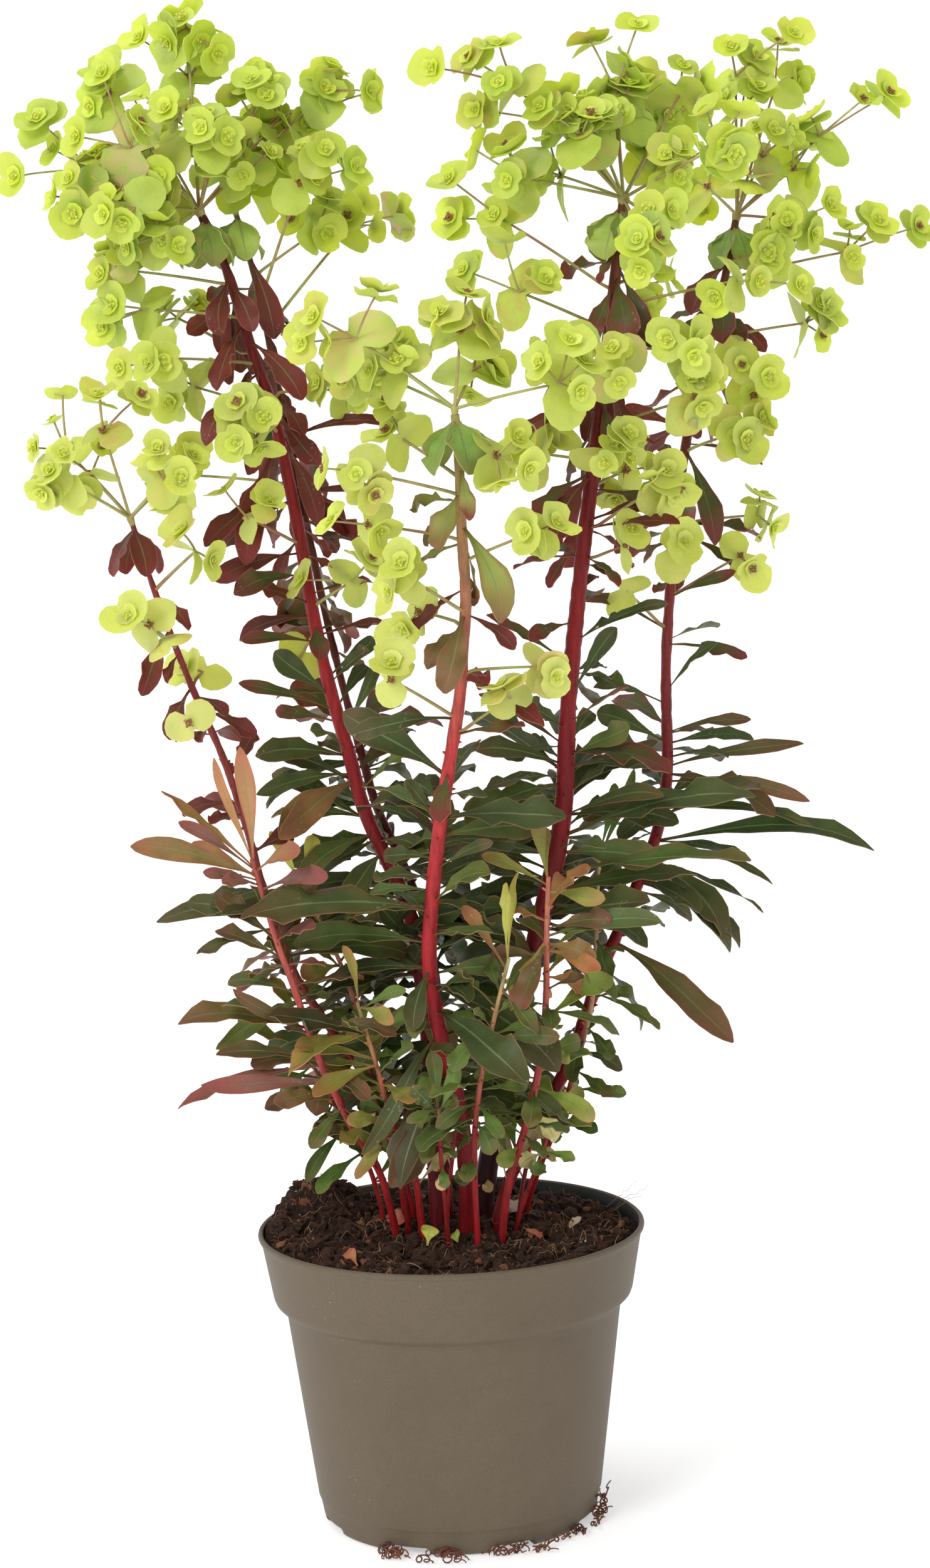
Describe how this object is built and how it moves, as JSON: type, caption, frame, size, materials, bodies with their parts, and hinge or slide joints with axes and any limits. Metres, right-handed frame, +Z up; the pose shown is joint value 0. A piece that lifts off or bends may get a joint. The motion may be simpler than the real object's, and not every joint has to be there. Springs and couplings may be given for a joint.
{
  "type": "potted euphorbia",
  "caption": "Potted spurge with red leafy stems, lime-green flower heads and young shoots growing from soil in a round taupe nursery pot; it stands on its flat foot.",
  "frame": {"origin": "centre of the pot's foot, on the surface that the pot stands on", "axes": "+Z up along the pot's axis, +X to the right and +Y away from the viewer of the picture"},
  "size_m": [0.4582, 0.2429, 0.7453],
  "materials": {
    "pot_plastic": "matte",
    "soil": "matte",
    "red_stem": "satin",
    "lime_bracts": "satin",
    "young_shoot": "satin",
    "green_leaf": "satin"
  },
  "bodies": {
    "root": {"pot": "pot_plastic", "potting_soil": "soil", "flowering_stem_left": "red_stem", "flowering_stem_tall_left": "red_stem", "flowering_stem_twin": "red_stem", "flowering_stem_middle": "red_stem", "flowering_stem_tall_right": "red_stem", "flowering_stem_right": "red_stem", "flower_head_left": "lime_bracts", "flower_head_tall_left": "lime_bracts", "flower_head_twin": "lime_bracts", "flower_head_middle": "lime_bracts", "flower_head_tall_right": "lime_bracts", "flower_head_right": "lime_bracts", "young_shoot_1": "young_shoot", "young_shoot_2": "young_shoot", "young_shoot_3": "young_shoot", "young_shoot_4": "young_shoot", "young_shoot_5": "young_shoot", "young_shoot_6": "young_shoot", "young_shoot_7": "young_shoot", "young_shoot_8": "young_shoot", "young_shoot_9": "young_shoot"}
  },
  "joints": []
}
